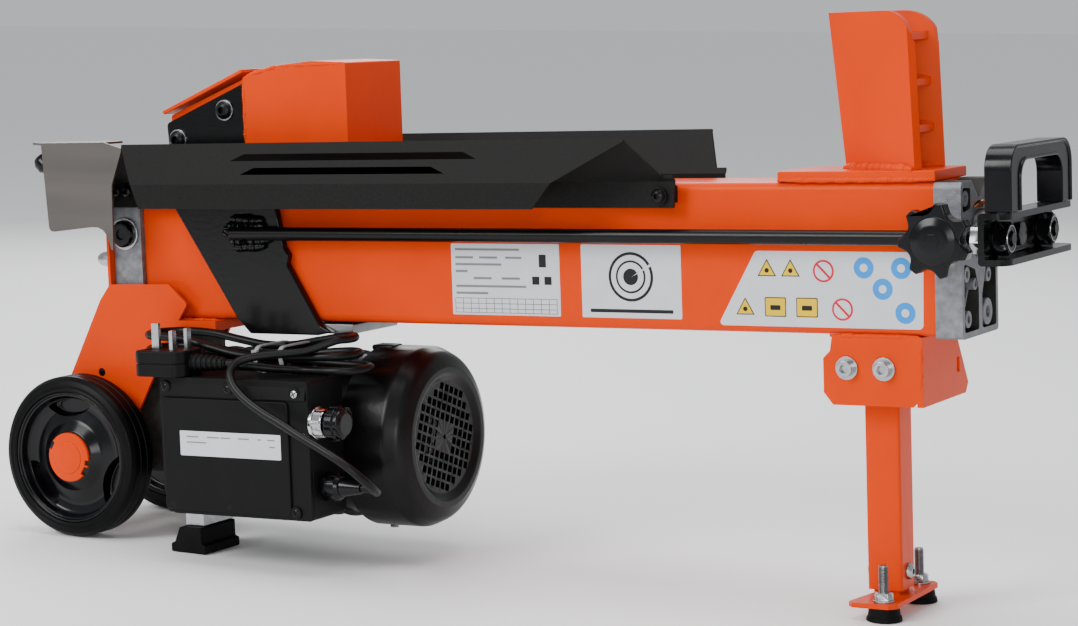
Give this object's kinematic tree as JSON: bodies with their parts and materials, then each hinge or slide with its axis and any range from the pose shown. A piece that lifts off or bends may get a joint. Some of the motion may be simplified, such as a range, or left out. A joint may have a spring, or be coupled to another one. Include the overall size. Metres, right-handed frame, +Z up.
{
  "type": "log splitter",
  "caption": "Electric hydraulic log splitter: box beam on two wheels and a leg, pusher drawn by side bars towards a fixed wedge, motor and pump slung below.",
  "frame": {"origin": "bottom centre of the machine's box without its supply cord, on the ground", "axes": "+X along the beam towards the wedge, +Y towards the far side from the switch box, +Z up; the beam itself stands tilted 2.15 degrees, wheel end low"},
  "size_m": [0.9788, 0.2581, 0.4908],
  "materials": {
    "orange_paint": "gloss powder coat with a light orange peel",
    "black_tray_paint": "satin, finely textured powder coat",
    "gloss_black_paint": "gloss black paint",
    "blacked_steel": "semi-gloss black over steel",
    "motor_paint": "gloss black enamel",
    "cast_aluminium": "as cast, machined faces",
    "plain_steel": "turned",
    "zinc_plate": "bright zinc plate",
    "bare_sheet": "satin bare sheet",
    "chromed_rod": "ground and hard chromed",
    "black_moulding": "glossy moulding",
    "satin_moulding": "satin moulding",
    "rubber": "matt moulded rubber",
    "tyre_rubber": "solid tyre, semi-matt",
    "cord_sheath": "satin sheath",
    "label_film": "printed film"
  },
  "bodies": {
    "frame": {"main_beam": "orange_paint", "beam_top_plate": "orange_paint", "rear_end_block": "cast_aluminium", "relief_valve_cap": "black_moulding", "front_end_cap": "cast_aluminium", "hydraulic_cylinder": "plain_steel", "rod_gland": "plain_steel", "wedge_plate_near": "orange_paint", "wedge_plate_far": "orange_paint", "wedge_gusset_1": "orange_paint", "wedge_gusset_2": "orange_paint", "wedge_gusset_3": "orange_paint", "log_tray_near": "black_tray_paint", "log_tray_far": "black_tray_paint", "leg_bracket": "orange_paint", "leg_tube": "orange_paint", "leg_cross_bolt": "zinc_plate", "leg_foot_plate": "orange_paint", "foot_pad_near": "rubber", "foot_pad_far": "rubber", "wheel_bracket": "orange_paint", "wheel_axle": "plain_steel", "motor_body": "motor_paint", "fan_cowl": "motor_paint", "pump_housing": "cast_aluminium", "motor_foot": "rubber", "motor_foot_bracket": "zinc_plate", "switch_box": "satin_moulding", "switch_box_lid": "satin_moulding", "button_neck": "zinc_plate", "cable_gland": "black_moulding", "power_cord": "cord_sheath", "cord_tail": "cord_sheath", "cord_hank": "cord_sheath", "plug": "black_moulding", "lever_guard": "bare_sheet"},
    "ram": {"pusher_block": "orange_paint", "pusher_side_near": "gloss_black_paint", "pusher_side_far": "gloss_black_paint", "side_bar_near": "blacked_steel", "side_bar_far": "blacked_steel", "bar_nut_near": "blacked_steel", "bar_nut_far": "blacked_steel", "keeper_block": "plain_steel", "piston": "plain_steel", "piston_rod": "chromed_rod", "crosshead": "gloss_black_paint", "carry_handle": "black_moulding"},
    "wheel_near": {"tyre_near": "tyre_rubber", "wheel_disc_near": "black_moulding", "hub_cap_near": "orange_paint"},
    "wheel_far": {"tyre_far": "tyre_rubber", "wheel_disc_far": "black_moulding", "hub_cap_far": "orange_paint"},
    "rotor": {"rotor_shaft": "plain_steel", "cooling_fan": "black_moulding"},
    "lever": {"control_lever": "zinc_plate", "lever_grip": "satin_moulding"},
    "button": {"start_button": "black_moulding"},
    "knob": {"star_knob": "black_moulding"}
  },
  "joints": [
    {"name": "ram_slide", "type": "slide", "parent": "frame", "child": "ram", "axis": [0.9993, 0, 0.0375], "range_m": [0, 0.37], "stiffness_N_per_m": 120, "springref_m": -0.1},
    {"name": "wheel_near_spin", "type": "hinge", "parent": "frame", "child": "wheel_near", "pos_m": [-0.41391, -0.05425, 0.0755], "axis": [0, 1, 0], "continuous": true},
    {"name": "wheel_far_spin", "type": "hinge", "parent": "frame", "child": "wheel_far", "pos_m": [-0.41391, 0.09775, 0.0755], "axis": [0, 1, 0], "continuous": true},
    {"name": "rotor_spin", "type": "hinge", "parent": "frame", "child": "rotor", "pos_m": [-0.18186, 0.02175, 0.10513], "axis": [0.9993, 0, 0.0375], "continuous": true},
    {"name": "lever_press", "type": "hinge", "parent": "frame", "child": "lever", "pos_m": [-0.40736, -0.03925, 0.30081], "axis": [0, 1, 0], "range_deg": [-25, 0], "stiffness_Nm_per_rad": 1.5, "springref_deg": 17.19},
    {"name": "button_press", "type": "slide", "parent": "frame", "child": "button", "axis": [-0.9993, 0, -0.0375], "range_m": [0, 0.0025], "stiffness_N_per_m": 600, "springref_m": -0.002},
    {"name": "knob_turn", "type": "hinge", "parent": "frame", "child": "knob", "pos_m": [0.42874, -0.05425, 0.31378], "axis": [0, 1, 0], "range_deg": [0, 360]}
  ]
}
